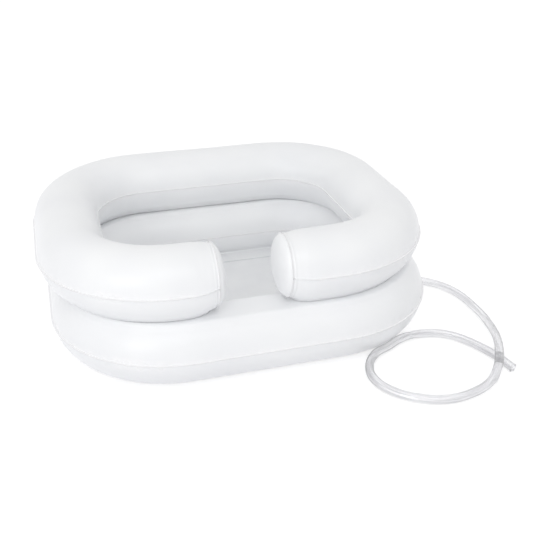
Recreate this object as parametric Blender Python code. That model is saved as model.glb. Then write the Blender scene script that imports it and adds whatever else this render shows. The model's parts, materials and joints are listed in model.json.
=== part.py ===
"""Inflatable shampoo basin of welded PVC film.

Two air rings lie one on the other. The lower one is closed and carries the floor sheet. The upper one
is open at the front for the neck, and each of its arms ends in a domed cap. Each ring has its own air
valve at the back, and a drain in the floor empties through a clear hose that runs out under the ring.

Metres, +Z up. The origin is on the surface that the basin stands on, midway between the centres of the
two rings. +X runs along the width, and -Y is the front, where the neck lies.
"""

import math

import bmesh
import bpy
from mathutils import Matrix, Vector

MM = 0.001

# Rings, over the film and without the seams
RING_WIDTH = 610 * MM
RING_DEPTH = 508 * MM
TUBE_WIDTH = 102 * MM
UPPER_TUBE_HEIGHT = 108 * MM
LOWER_TUBE_HEIGHT = 110 * MM
FRONT_STRAIGHT = 230 * MM
RING_SHIFT_X = 10 * MM
RING_SHIFT_Y = 10 * MM
GROUND_FLAT = 0.5 * MM
CONTACT_FLAT = 3.75 * MM

# Film and seams
FILM = 0.5 * MM
SEAM_WIDTH = 2.5 * MM
GAP = 0.3 * MM
OVERRUN = 3 * MM
MERGE = 0.03 * MM

# Neck opening of the upper ring, between the welds of its two caps
NECK_LEFT_X = -70 * MM
NECK_RIGHT_X = 37 * MM
CAP_DEPTH = 18 * MM
CAP_WELD = 1.5 * MM

# Floor sheet
FLOOR_HEIGHT = 15.5 * MM
FLOOR_MARGIN_RISE = 7 * MM
FLOOR_WELD_INSET = 38 * MM
FLOOR_WELD_WIDTH = 2.4 * MM
FLOOR_WELD_HEIGHT = 0.6 * MM
FLOOR_EDGE_INSET = 46 * MM

# Hose
HOSE_DIAMETER = 14 * MM
HOSE_REST_GAP = 0.25 * MM
HOSE_STEP_DIAMETERS = 2
TUNNEL_HALF_WIDTH = 28 * MM
TUNNEL_ROOF_HALF_WIDTH = 5 * MM

# Drain
DRAIN_INSET = 58 * MM
DRAIN_Y = -18 * MM
DRAIN_FLANGE_DIAMETER = 44 * MM
DRAIN_FLANGE_THICKNESS = 1.6 * MM
DRAIN_RIM_THICKNESS = 0.8 * MM
DRAIN_RIM_SLOPE = 3.2 * MM
DRAIN_DISH_WIDTH = 1.6 * MM
DRAIN_BORE = 12 * MM
DRAIN_NECK_WALL = 1.6 * MM
DRAIN_NECK_LENGTH = 4 * MM
DRAIN_BAR_WIDTH = 1.8 * MM
DRAIN_BAR_DEPTH = 2.2 * MM
ELBOW_WALL = 2.2 * MM
ELBOW_BASE = 1.4 * MM
ELBOW_PLATE_DIAMETER = 36 * MM
ELBOW_PLATE_THICKNESS = 1.2 * MM
ELBOW_SPOUT_DIAMETER = 13 * MM
ELBOW_SPOUT_LENGTH = 20 * MM
ELBOW_SPOUT_BORE = 9 * MM

# Air valves, each on the upper half of its ring's back
VALVE_ANGLE = math.radians(25)
UPPER_VALVE_X = -60 * MM
LOWER_VALVE_X = 60 * MM
VALVE_FLANGE_DIAMETER = 36 * MM
VALVE_FLANGE_THICKNESS = 1.2 * MM
VALVE_FLANGE_EDGE = 0.6 * MM
VALVE_CHAMFER = 0.3 * MM
VALVE_COLLAR_WALL = 1.4 * MM
VALVE_COLLAR_DEPTH = 5 * MM
VALVE_STEM_DIAMETER = 15 * MM
VALVE_STEM_RISE = 3.2 * MM
VALVE_STEM_DEPTH = 16 * MM
VALVE_BORE = 8 * MM
VALVE_LIP_DIAMETER = 17.2 * MM
VALVE_LIP_DEPTH = 2 * MM
PLUG_HEAD_DIAMETER = 15 * MM
PLUG_HEAD_THICKNESS = 2 * MM
PLUG_SPIGOT_LENGTH = 8 * MM
PLUG_SPIGOT_TAPER = 0.35 * MM
PLUG_CROWN_SHARE = 2 / 3
STRAP_THICKNESS = 0.9 * MM
STRAP_WIDTH = 5 * MM
STRAP_REACH = 11 * MM
FLAP_DIAMETER = 11 * MM
FLAP_THICKNESS = 0.8 * MM

# Fineness of the facets
CORNER_STEPS = 9
TUBE_STEPS = 8
CAP_STEPS = 5
ROUND_STEPS = 24
BACK_PARTS = 2
ROUTE_PARTS = 12
HOSE_BEVEL_RESOLUTION = 3
SHARP_ANGLE = math.radians(35)

# The hose's way along the ground, from the drain's spout to its cut end. It passes under the ring's
# right side, crosses over its own free end in a low hump and lies in one loose loop.
HOSE_ROUTE_MM = [
    (180.5, -18, 7.25), (205, -18, 7.25), (230, -18, 7.25), (255, -18, 7.25), (280, -18, 7.25),
    (303, -20.5, 7.25), (326, -28, 7.25), (347, -40, 7.25), (368, -59.5, 7.25), (383, -85, 7.25),
    (390.5, -115, 7.25), (392, -151, 7.6), (389.5, -187, 9.5), (381, -225, 13.5), (368, -264.5, 18.8),
    (352, -299, 22), (337.5, -324.5, 20.8), (322.5, -344, 15), (307, -358, 9.8), (287, -368.5, 7.6),
    (263, -376, 7.25), (240, -379.5, 7.25), (217, -377.5, 7.25), (195, -369.5, 7.25),
    (172, -355, 7.25), (155, -335, 7.25), (145.5, -312, 7.25), (145, -287, 7.25), (156, -260, 7.25),
    (176, -238.5, 7.25), (199.5, -227.8, 7.25), (221.7, -215, 7.25), (240.5, -208.5, 7.25),
    (261, -207, 7.25), (282.5, -210.5, 7.25), (301, -219, 7.25), (315.5, -231.5, 7.25),
    (326.5, -247, 7.25), (337.5, -268, 7.25), (346, -290, 7.25), (352, -313, 7.25), (355.5, -336, 7.25),
]


class Ring:
    """Sizes and place of one air ring: a tube of oval section swept round a rounded rectangle."""

    def __init__(self, centre_x, centre_y, middle_z, tube_height, low_flat, high_flat):
        self.centre = Vector((centre_x, centre_y, middle_z))
        self.half_width = RING_WIDTH / 2 - TUBE_WIDTH / 2
        self.half_depth = RING_DEPTH / 2 - TUBE_WIDTH / 2
        self.corner_radius = self.half_width - FRONT_STRAIGHT / 2
        self.radius = TUBE_WIDTH / 2
        self.rise = tube_height / 2
        self.low_flat = low_flat
        self.high_flat = high_flat

    @property
    def front_y(self):
        """Place of the tube's centre line along the front."""
        return self.centre.y - self.half_depth

    @property
    def back_y(self):
        """Place of the tube's centre line along the back."""
        return self.centre.y + self.half_depth

    @property
    def side_straight(self):
        """Length of the straight run along each side."""
        return 2 * (self.half_depth - self.corner_radius)

    def corners(self):
        """Centres of the four corner arcs, clockwise from the front left."""
        reach_x = FRONT_STRAIGHT / 2
        reach_y = self.side_straight / 2
        places = [(-reach_x, -reach_y), (-reach_x, reach_y), (reach_x, reach_y), (reach_x, -reach_y)]
        return [self.centre + Vector((x, y, 0)) for x, y in places]

    def half_section(self, side):
        """Outer face of one half of the tube with its two seam fins, from the outer seam inwards.

        side is 1 for the upper half and -1 for the lower one. Each point is its distance outwards
        from the tube's centre line and its height over the ring's middle.
        """
        start = math.asin((GAP / 2 + FILM) / self.rise)
        flat = self.high_flat if side > 0 else self.low_flat
        seam_z = side * (GAP / 2 + FILM)
        if flat:
            stop = math.asin((self.rise - flat) / self.rise)
            steps = TUBE_STEPS // 2
            outer = [start + (stop - start) * step / steps for step in range(steps + 1)]
            angles = outer + [math.pi - angle for angle in reversed(outer)]
        else:
            angles = [start + (math.pi - 2 * start) * step / TUBE_STEPS for step in range(TUBE_STEPS + 1)]
        arc = [(self.radius * math.cos(a), side * self.rise * math.sin(a)) for a in angles]
        fin = self.radius + SEAM_WIDTH
        return [(fin, seam_z)] + arc + [(-fin, seam_z)]

    def round_section(self):
        """The whole outline of the tube, without fins, as one closed run of points."""
        upper = self.half_section(1)[1:-1]
        lower = self.half_section(-1)[1:-1]
        return upper + lower[::-1]


LOWER_MIDDLE = LOWER_TUBE_HEIGHT / 2 - GROUND_FLAT
UPPER_MIDDLE = (LOWER_MIDDLE + LOWER_TUBE_HEIGHT / 2 - CONTACT_FLAT + GAP
                + UPPER_TUBE_HEIGHT / 2 - CONTACT_FLAT)
LOWER = Ring(RING_SHIFT_X / 2, -RING_SHIFT_Y / 2, LOWER_MIDDLE, LOWER_TUBE_HEIGHT, GROUND_FLAT, CONTACT_FLAT)
UPPER = Ring(-RING_SHIFT_X / 2, RING_SHIFT_Y / 2, UPPER_MIDDLE, UPPER_TUBE_HEIGHT, CONTACT_FLAT, 0)
DRAIN_X = LOWER.centre.x + LOWER.half_width - LOWER.radius - DRAIN_INSET


def clear_scene():
    """Remove what the start-up file holds."""
    for scene_object in list(bpy.data.objects):
        bpy.data.objects.remove(scene_object, do_unlink=True)


def make_material(name, colour, roughness, alpha=1.0):
    """A Principled material of one plastic."""
    material = bpy.data.materials.new(name)
    material.use_nodes = True
    shader = material.node_tree.nodes["Principled BSDF"]
    shader.inputs["Base Color"].default_value = (*colour, 1)
    shader.inputs["Roughness"].default_value = roughness
    shader.inputs["Metallic"].default_value = 0
    shader.inputs["Alpha"].default_value = alpha
    return material


def make_object(name, shape, material):
    """Turn a bmesh into a smooth-shaded object with its sharp edges kept."""
    mesh = bpy.data.meshes.new(name)
    shape.to_mesh(mesh)
    shape.free()
    made = bpy.data.objects.new(name, mesh)
    bpy.context.collection.objects.link(made)
    mesh.materials.append(material)
    mesh.shade_smooth()
    mesh.set_sharp_from_angle(angle=SHARP_ANGLE)
    return made


def thicken(made, thickness):
    """Give a sheet its film thickness, away from the side that its faces point to."""
    wall = made.modifiers.new("film", "SOLIDIFY")
    wall.thickness = thickness
    wall.offset = -1
    wall.use_even_offset = True
    wall.use_quality_normals = True


def boolean(made, cutter, operation):
    """Join another body to an object or cut it away, and leave that body as a hidden guide."""
    step = made.modifiers.new(operation.lower(), "BOOLEAN")
    step.operation = operation
    step.solver = "EXACT"
    step.object = cutter
    cutter.hide_render = True
    cutter.display_type = "WIRE"


def polyline(shape, points):
    """Add a chain of edges to a bmesh."""
    verts = [shape.verts.new(point) for point in points]
    return [shape.edges.new(pair) for pair in zip(verts, verts[1:])]


def run_straight(shape, edges, move, parts=1):
    """Extrude a chain of edges along a straight, in equal parts."""
    for _ in range(parts):
        made = bmesh.ops.extrude_edge_only(shape, edges=edges)["geom"]
        verts = [item for item in made if isinstance(item, bmesh.types.BMVert)]
        edges = [item for item in made if isinstance(item, bmesh.types.BMEdge)]
        bmesh.ops.translate(shape, verts=verts, vec=move / parts)
    return edges


def run_corner(shape, edges, centre):
    """Spin a chain of edges a quarter turn clockwise, seen from above."""
    verts = list({vert for edge in edges for vert in edge.verts})
    made = bmesh.ops.spin(shape, geom=verts + edges, cent=centre, axis=(0, 0, 1),
                          angle=-math.pi / 2, steps=CORNER_STEPS, use_merge=False)
    return [item for item in made["geom_last"] if isinstance(item, bmesh.types.BMEdge)]


def sweep_ring(ring, section, start_x, end_x, tunnel=None):
    """Sweep a section round a ring, from its front clockwise to its front again.

    Equal start and end close the ring. tunnel gives the distances along the right side, from its
    back end, at which the section is repeated to take a dent.
    """
    shape = bmesh.new()
    points = [(start_x, ring.front_y - out, ring.centre.z + up) for out, up in section]
    edges = polyline(shape, points)
    front_left, back_left, back_right, front_right = ring.corners()
    side = ring.side_straight
    edges = run_straight(shape, edges, Vector((front_left.x - start_x, 0, 0)))
    edges = run_corner(shape, edges, front_left)
    edges = run_straight(shape, edges, Vector((0, side, 0)))
    edges = run_corner(shape, edges, back_left)
    edges = run_straight(shape, edges, Vector((back_right.x - back_left.x, 0, 0)), BACK_PARTS)
    edges = run_corner(shape, edges, back_right)
    done = 0
    for stop in (tunnel or []):
        edges = run_straight(shape, edges, Vector((0, done - stop, 0)))
        done = stop
    edges = run_straight(shape, edges, Vector((0, done - side, 0)))
    edges = run_corner(shape, edges, front_right)
    run_straight(shape, edges, Vector((end_x - front_right.x, 0, 0)))
    bmesh.ops.remove_doubles(shape, verts=shape.verts, dist=MERGE)
    return shape


def face_towards(shape, direction):
    """Turn every face of an open sheet where, taken together, they point away from a direction."""
    shape.normal_update()
    if sum(face.calc_area() * face.normal.dot(direction) for face in shape.faces) < 0:
        bmesh.ops.reverse_faces(shape, faces=shape.faces)


def ring_panel(ring, side, start_x, end_x, tunnel=None):
    """One half of a ring: a swept panel of film with a weld fin along each edge."""
    shape = sweep_ring(ring, ring.half_section(side), start_x, end_x, tunnel)
    face_towards(shape, Vector((0, 0, side)))
    return shape


def tunnel_stops():
    """Places along the right side of the lower ring where the dent over the hose needs a section.

    What the dent covers of a corner has the corner's own sections.
    """
    start = LOWER.corners()[2].y - DRAIN_Y
    steps = [TUNNEL_HALF_WIDTH, (TUNNEL_HALF_WIDTH + TUNNEL_ROOF_HALF_WIDTH) / 2, TUNNEL_ROOF_HALF_WIDTH * 2,
             TUNNEL_ROOF_HALF_WIDTH]
    stops = [start - step for step in steps] + [start + step for step in reversed(steps)]
    return [stop for stop in stops if 0 < stop < LOWER.side_straight]


def dent_over_hose(shape):
    """Lift the underside of the lower ring over the hose, as the soft film does."""
    roof = HOSE_REST_GAP + HOSE_DIAMETER + GAP
    for vert in shape.verts:
        off = abs(vert.co.y - DRAIN_Y)
        if vert.co.x < DRAIN_X or off >= TUNNEL_HALF_WIDTH:
            continue
        across = max(0, off - TUNNEL_ROOF_HALF_WIDTH) / (TUNNEL_HALF_WIDTH - TUNNEL_ROOF_HALF_WIDTH)
        lift = roof * (1 + math.cos(math.pi * across)) / 2
        vert.co.z = max(vert.co.z, lift)


def build_rings(film):
    """The four ring panels, welded in pairs along the outer and the inner seam."""
    upper_top = make_object("upper_ring_top_panel", ring_panel(UPPER, 1, NECK_LEFT_X, NECK_RIGHT_X), film)
    upper_low = make_object("upper_ring_bottom_panel", ring_panel(UPPER, -1, NECK_LEFT_X, NECK_RIGHT_X), film)
    lower_top = make_object("lower_ring_top_panel", ring_panel(LOWER, 1, 0, 0), film)
    dented = ring_panel(LOWER, -1, 0, 0, tunnel_stops())
    dent_over_hose(dented)
    lower_low = make_object("lower_ring_bottom_panel", dented, film)
    for panel in (upper_top, upper_low, lower_top, lower_low):
        thicken(panel, FILM)
    return upper_top, lower_top


def build_cap(name, end_x, outwards, film):
    """A domed end cap: the arm's own outline, drawn in over the dome, with a weld fin round its rim.

    outwards is 1 where the cap bulges towards +X and -1 where it bulges towards -X.
    """
    shape = bmesh.new()
    middle = Vector((end_x, UPPER.front_y, UPPER.centre.z))
    plane_x = end_x + outwards * (GAP + FILM)
    outline = [(plane_x, UPPER.front_y - out, UPPER.centre.z + up) for out, up in UPPER.round_section()]
    low = min(point[2] for point in outline)
    edges = polyline(shape, outline)
    edges.append(shape.edges.new((edges[-1].verts[1], edges[0].verts[0])))
    rim = [edge for edge in edges if max(vert.co.z for vert in edge.verts) > low + GAP]
    fin = bmesh.ops.extrude_edge_only(shape, edges=rim)["geom"]
    for vert in (item for item in fin if isinstance(item, bmesh.types.BMVert)):
        away = Vector((0, vert.co.y - middle.y, vert.co.z - middle.z))
        vert.co += away.normalized() * CAP_WELD
        vert.co.z = max(vert.co.z, low)
    ring = edges
    for step in range(1, CAP_STEPS + 1):
        angle = math.pi / 2 * step / CAP_STEPS
        made = bmesh.ops.extrude_edge_only(shape, edges=ring)["geom"]
        ring = [item for item in made if isinstance(item, bmesh.types.BMEdge)]
        shrink = math.cos(angle) / math.cos(angle - math.pi / 2 / CAP_STEPS)
        for vert in (item for item in made if isinstance(item, bmesh.types.BMVert)):
            vert.co.x = plane_x + outwards * CAP_DEPTH * math.sin(angle)
            vert.co.y = middle.y + (vert.co.y - middle.y) * shrink
            vert.co.z = middle.z + (vert.co.z - middle.z) * shrink
    bmesh.ops.remove_doubles(shape, verts=shape.verts, dist=MERGE)
    bmesh.ops.recalc_face_normals(shape, faces=shape.faces)
    face_towards(shape, Vector((outwards, 0, 0)))
    thicken(make_object(name, shape, film), FILM)


def floor_section():
    """Bowl side of the floor sheet, from its welded margin up the tube to the flat, inwards."""
    clear = GAP + FILM
    wide, high = LOWER.radius + clear, LOWER.rise + clear
    floor_up = FLOOR_HEIGHT - LOWER.centre.z
    crease = math.asin(-floor_up / high)
    top = math.asin(-(floor_up + FLOOR_MARGIN_RISE) / high)
    angles = [top, (top + crease) / 2, crease]
    margin = [(-wide * math.cos(angle), -high * math.sin(angle)) for angle in angles]
    crease_out = margin[-1][0]
    weld = crease_out - FLOOR_WELD_INSET
    bead = [(weld + FLOOR_WELD_WIDTH / 2, floor_up), (weld, floor_up + FLOOR_WELD_HEIGHT),
            (weld - FLOOR_WELD_WIDTH / 2, floor_up)]
    return margin + bead + [(crease_out - FLOOR_EDGE_INSET, floor_up)]


def build_floor(film):
    """The floor sheet with its weld line, and the hole that the drain's neck passes through."""
    shape = sweep_ring(LOWER, floor_section(), 0, 0)
    inner_reach = LOWER.half_width + floor_section()[-1][0] + GAP
    rim = [edge for edge in shape.edges if edge.is_boundary
           and all(abs(vert.co.x - LOWER.centre.x) < inner_reach for vert in edge.verts)
           and all(vert.co.z < FLOOR_HEIGHT + GAP for vert in edge.verts)]
    bmesh.ops.contextual_create(shape, geom=rim)
    bmesh.ops.recalc_face_normals(shape, faces=shape.faces)
    face_towards(shape, Vector((0, 0, 1)))
    floor = make_object("basin_floor", shape, film)
    thicken(floor, FILM)
    hole = rod("floor_hole_guide", neck_radius() + GAP, FLOOR_HEIGHT - FILM - OVERRUN,
               FLOOR_HEIGHT + OVERRUN, Matrix.Translation((DRAIN_X, DRAIN_Y, 0)), film)
    boolean(floor, hole, "DIFFERENCE")


def neck_radius():
    """Outer radius of the drain's neck."""
    return DRAIN_BORE / 2 + DRAIN_NECK_WALL


def revolve(profile):
    """Turn a closed or axis-to-axis run of (radius, height) points about Z."""
    shape = bmesh.new()
    edges = polyline(shape, [(radius, 0, height) for radius, height in profile])
    if profile[0][0] and profile[-1][0]:
        edges.append(shape.edges.new((edges[-1].verts[1], edges[0].verts[0])))
    verts = list({vert for edge in edges for vert in edge.verts})
    bmesh.ops.spin(shape, geom=verts + edges, cent=(0, 0, 0), axis=(0, 0, 1),
                   angle=2 * math.pi, steps=ROUND_STEPS, use_merge=True)
    bmesh.ops.remove_doubles(shape, verts=shape.verts, dist=MERGE)
    bmesh.ops.recalc_face_normals(shape, faces=shape.faces)
    return shape


def rod(name, radius, low, high, frame, material):
    """A round bar along the Z axis of a frame."""
    shape = revolve([(0, low), (radius, low), (radius, high), (0, high)])
    made = make_object(name, shape, material)
    made.matrix_world = frame
    return made


def bar(name, size, centre, material):
    """A straight-sided bar."""
    shape = bmesh.new()
    bmesh.ops.create_cube(shape, size=1, matrix=Matrix.Translation(centre) @ Matrix.Diagonal((*size, 1)))
    return make_object(name, shape, material)


def build_drain(plastic):
    """The drain: a flange with a strainer over the floor, and an elbow under it for the hose."""
    bore = DRAIN_BORE / 2
    neck = neck_radius()
    seat = FLOOR_HEIGHT + GAP
    face = seat + DRAIN_FLANGE_THICKNESS
    place = Matrix.Translation((DRAIN_X, DRAIN_Y, 0))
    edge = DRAIN_FLANGE_DIAMETER / 2
    flange = make_object("drain_flange", revolve([
        (edge, seat), (edge, seat + DRAIN_RIM_THICKNESS), (edge - DRAIN_RIM_SLOPE, face),
        (neck + DRAIN_DISH_WIDTH, face), (bore, seat), (bore, seat - DRAIN_NECK_LENGTH),
        (neck, seat - DRAIN_NECK_LENGTH), (neck, seat)]), plastic)
    flange.matrix_world = place
    reach = 2 * bore + DRAIN_NECK_WALL
    bar_middle = Vector((DRAIN_X, DRAIN_Y, seat - DRAIN_BAR_DEPTH / 2))
    for name, size in (("strainer_bar_across_guide", (reach, DRAIN_BAR_WIDTH, DRAIN_BAR_DEPTH)),
                       ("strainer_bar_along_guide", (DRAIN_BAR_WIDTH, reach, DRAIN_BAR_DEPTH))):
        boolean(flange, bar(name, size, bar_middle, plastic), "UNION")

    top = FLOOR_HEIGHT - FILM - GAP
    cup = neck + GAP + ELBOW_WALL
    plate = ELBOW_PLATE_DIAMETER / 2
    base = HOSE_REST_GAP
    elbow = make_object("drain_elbow", revolve([
        (0, base), (cup - ELBOW_BASE / 2, base), (cup, base + ELBOW_BASE / 2),
        (cup, top - ELBOW_PLATE_THICKNESS), (plate, top - ELBOW_PLATE_THICKNESS / 2), (plate, top),
        (0, top)]), plastic)
    elbow.matrix_world = place
    spout_frame = (Matrix.Translation((DRAIN_X, DRAIN_Y, HOSE_REST_GAP + HOSE_DIAMETER / 2))
                   @ Matrix.Rotation(math.pi / 2, 4, "Y"))
    spout_end = cup + ELBOW_SPOUT_LENGTH
    spout = rod("spout_guide", ELBOW_SPOUT_DIAMETER / 2, 0, spout_end, spout_frame, plastic)
    boolean(elbow, spout, "UNION")
    cup_bore = rod("cup_bore_guide", neck + GAP, base + ELBOW_BASE, top + OVERRUN, place, plastic)
    boolean(elbow, cup_bore, "DIFFERENCE")
    spout_bore = rod("spout_bore_guide", ELBOW_SPOUT_BORE / 2, 0, spout_end + OVERRUN, spout_frame, plastic)
    boolean(elbow, spout_bore, "DIFFERENCE")


def valve_frame(ring, place_x):
    """Frame of an air valve on a ring's back: X along the ring, Z straight out of the film."""
    along, out = math.cos(VALVE_ANGLE), math.sin(VALVE_ANGLE)
    foot = Vector((place_x, ring.back_y + ring.radius * along, ring.centre.z + ring.rise * out))
    outwards = Vector((0, along / ring.radius, out / ring.rise)).normalized()
    across = Vector((1, 0, 0))
    up = outwards.cross(across)
    turn = Matrix((across, up, outwards)).transposed().to_4x4()
    return Matrix.Translation(foot) @ turn


def tube_bend(ring):
    """Radius to which the tube's section bends at the valves."""
    along, out = math.cos(VALVE_ANGLE), math.sin(VALVE_ANGLE)
    square = (ring.radius * out) ** 2 + (ring.rise * along) ** 2
    return square * math.sqrt(square) / (ring.radius * ring.rise)


def build_valve(ring, name, place_x, panel, soft, film):
    """One air valve: its welded flange, the stem that pulls out of it, the plug, the strap and the flap."""
    frame = valve_frame(ring, place_x)
    stem_radius = VALVE_STEM_DIAMETER / 2
    bore = VALVE_BORE / 2
    collar_bore = stem_radius + GAP
    collar = collar_bore + VALVE_COLLAR_WALL
    top = GAP + VALVE_FLANGE_THICKNESS
    edge = VALVE_FLANGE_DIAMETER / 2

    shape = revolve([(edge, GAP), (edge, GAP + VALVE_FLANGE_EDGE), (collar, top), (collar_bore, top),
                     (collar_bore, -VALVE_COLLAR_DEPTH), (collar, -VALVE_COLLAR_DEPTH), (collar, GAP)])
    bend = tube_bend(ring)
    for vert in shape.verts:
        vert.co.z -= bend - math.sqrt(bend * bend - vert.co.y * vert.co.y)
    flange = make_object(name + "_flange", shape, soft)
    flange.matrix_world = frame
    hole = rod(name + "_hole_guide", collar + GAP, -VALVE_COLLAR_DEPTH, OVERRUN, frame, film)
    boolean(panel, hole, "DIFFERENCE")

    rise = VALVE_STEM_RISE
    depth = VALVE_STEM_DEPTH
    lip = VALVE_LIP_DIAMETER / 2
    chamfer = VALVE_CHAMFER
    stem = make_object(name + "_stem", revolve([
        (bore, rise), (stem_radius - chamfer, rise), (stem_radius, rise - chamfer),
        (stem_radius, VALVE_LIP_DEPTH - depth), (lip, VALVE_LIP_DEPTH - depth), (lip, -depth),
        (bore, -depth)]), soft)
    stem.matrix_world = frame

    head = PLUG_HEAD_DIAMETER / 2
    seat = rise + GAP
    crown = seat + PLUG_HEAD_THICKNESS
    spigot = bore - GAP
    plug = make_object(name + "_plug", revolve([
        (0, crown), (head * PLUG_CROWN_SHARE, crown - chamfer), (head, crown - PLUG_HEAD_THICKNESS / 2),
        (head, seat),
        (spigot, seat), (spigot - PLUG_SPIGOT_TAPER, seat - PLUG_SPIGOT_LENGTH),
        (0, seat - PLUG_SPIGOT_LENGTH)]), soft)
    plug.matrix_world = frame

    low_leg = rise - chamfer - STRAP_THICKNESS / 2
    high_leg = seat + PLUG_HEAD_THICKNESS / 2
    turn_radius = (high_leg - low_leg) / 2
    turn_middle = (high_leg + low_leg) / 2
    far = stem_radius + STRAP_REACH - turn_radius
    bow = [(far + turn_radius * math.cos(a), turn_middle + turn_radius * math.sin(a))
           for a in (math.pi * (step / CAP_STEPS - 1 / 2) for step in range(CAP_STEPS + 1))]
    run = [(stem_radius + GAP, low_leg)] + bow + [(head + GAP, high_leg)]
    shape = bmesh.new()
    edges = polyline(shape, [(out, -STRAP_WIDTH / 2, up) for out, up in run])
    run_straight(shape, edges, Vector((0, STRAP_WIDTH, 0)))
    strap = make_object(name + "_strap", shape, soft)
    strap.matrix_world = frame
    thicken(strap, STRAP_THICKNESS)
    strap.modifiers["film"].offset = 0

    rod(name + "_flap", FLAP_DIAMETER / 2, -depth - GAP - FLAP_THICKNESS, -depth - GAP, frame, soft)


def smooth_route(points):
    """Points close together on one smooth curve through the chosen ones (Catmull-Rom)."""
    padded = [2 * points[0] - points[1]] + points + [2 * points[-1] - points[-2]]
    route = [points[0]]
    for before, start, end, after in zip(padded, padded[1:], padded[2:], padded[3:]):
        for step in range(1, ROUTE_PARTS + 1):
            t = step / ROUTE_PARTS
            route.append((2 * start + (end - before) * t
                          + (2 * before - 5 * start + 4 * end - after) * t * t
                          + (3 * start - before - 3 * end + after) * t * t * t) / 2)
    return route


def evenly_spaced(route, step):
    """Points on a route at about equal steps, its two ends among them, and its length."""
    lengths = [0]
    for start, end in zip(route, route[1:]):
        lengths.append(lengths[-1] + (end - start).length)
    count = round(lengths[-1] / step)
    spaced = []
    index = 0
    for number in range(count + 1):
        along = lengths[-1] * number / count
        while index < len(route) - 2 and lengths[index + 1] < along:
            index += 1
        share = (along - lengths[index]) / (lengths[index + 1] - lengths[index])
        spaced.append(route[index].lerp(route[index + 1], share))
    return spaced, lengths[-1]


def build_hose(clear):
    """The drain hose, one round tube along its route."""
    points = [Vector(point) * MM for point in HOSE_ROUTE_MM]
    spaced, length = evenly_spaced(smooth_route(points), HOSE_STEP_DIAMETERS * HOSE_DIAMETER)
    curve = bpy.data.curves.new("drain_hose", "CURVE")
    curve.dimensions = "3D"
    curve.bevel_depth = HOSE_DIAMETER / 2
    curve.bevel_resolution = HOSE_BEVEL_RESOLUTION
    curve.use_fill_caps = True
    spline = curve.splines.new("POLY")
    spline.points.add(len(spaced) - 1)
    for target, point in zip(spline.points, spaced):
        target.co = (*point, 1)
    hose = bpy.data.objects.new("drain_hose", curve)
    bpy.context.collection.objects.link(hose)
    curve.materials.append(clear)
    print(f"hose length {length:.3f} m in {len(spaced)} points")


def main():
    """Build every piece of the basin."""
    clear_scene()
    film = make_material("white PVC film", (0.93, 0.94, 0.95), 0.35)
    soft = make_material("soft white PVC", (0.9, 0.91, 0.92), 0.4)
    plastic = make_material("white ABS", (0.92, 0.92, 0.91), 0.3)
    clear = make_material("clear PVC", (0.86, 0.88, 0.92), 0.12, 0.45)
    upper_panel, lower_panel = build_rings(film)
    build_cap("upper_ring_left_cap", NECK_LEFT_X, 1, film)
    build_cap("upper_ring_right_cap", NECK_RIGHT_X, -1, film)
    build_floor(film)
    build_drain(plastic)
    build_valve(UPPER, "upper_valve", UPPER_VALVE_X, upper_panel, soft, film)
    build_valve(LOWER, "lower_valve", LOWER_VALVE_X, lower_panel, soft, film)
    build_hose(clear)


main()
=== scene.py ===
"""Inflatable shampoo basin of welded PVC film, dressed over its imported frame.

Two air rings of blown-up film lie one on the other, each welded from an upper and a lower panel along an
outer and an inner seam. The upper ring is open for the neck and closed there by two domed caps. The lower
ring carries the floor sheet, under which a clear hose starts from the drain. Each ring has an air valve at
its back.

Metres, +Z up, in the frame's own place. The front, where the neck lies, looks towards -Y.
"""

import json
import logging
import math
from collections.abc import Callable
from dataclasses import dataclass, field
from enum import Enum

import bmesh
import bpy
from bmesh.types import BMEdge, BMesh, BMVert
from bpy.types import Material, Node, NodeSocket, Object, World
from mathutils import Matrix, Vector, noise

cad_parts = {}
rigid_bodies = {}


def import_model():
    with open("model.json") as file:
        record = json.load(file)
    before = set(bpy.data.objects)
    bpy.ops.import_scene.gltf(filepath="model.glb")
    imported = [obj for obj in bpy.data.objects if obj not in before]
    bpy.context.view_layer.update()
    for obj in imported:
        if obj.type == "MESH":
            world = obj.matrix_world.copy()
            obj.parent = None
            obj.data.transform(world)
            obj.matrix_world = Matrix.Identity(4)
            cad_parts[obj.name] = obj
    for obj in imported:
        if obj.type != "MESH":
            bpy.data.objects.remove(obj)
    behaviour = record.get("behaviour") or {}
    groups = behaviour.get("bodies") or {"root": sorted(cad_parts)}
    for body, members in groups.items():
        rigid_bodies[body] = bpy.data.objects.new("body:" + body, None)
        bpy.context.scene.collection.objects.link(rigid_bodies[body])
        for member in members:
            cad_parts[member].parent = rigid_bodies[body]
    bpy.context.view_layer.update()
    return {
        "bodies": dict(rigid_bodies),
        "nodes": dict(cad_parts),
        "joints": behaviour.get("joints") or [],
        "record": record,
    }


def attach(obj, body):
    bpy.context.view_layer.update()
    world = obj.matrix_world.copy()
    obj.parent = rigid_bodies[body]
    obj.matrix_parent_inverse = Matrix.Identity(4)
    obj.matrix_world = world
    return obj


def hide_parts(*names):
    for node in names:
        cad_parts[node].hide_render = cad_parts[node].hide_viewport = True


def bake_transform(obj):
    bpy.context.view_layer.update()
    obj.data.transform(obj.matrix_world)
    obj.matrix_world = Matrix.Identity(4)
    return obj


LOG = logging.getLogger("shampoo_basin")

Pair = tuple[float, float]
Triple = tuple[float, float, float]

MM = 0.001

# How thick film is, how far apart two films lie, and within what distance points are one
FILM = 0.5 * MM
FILM_GAP = 0.3 * MM
MERGE = 0.03 * MM

# Places that more than one sub-assembly works from
ARM_END_LEFT = -70 * MM
ARM_END_RIGHT = 37 * MM
DRAIN_X = 150 * MM
DRAIN_Y = -18 * MM
DRAIN_FLOOR = 15.5 * MM

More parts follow.
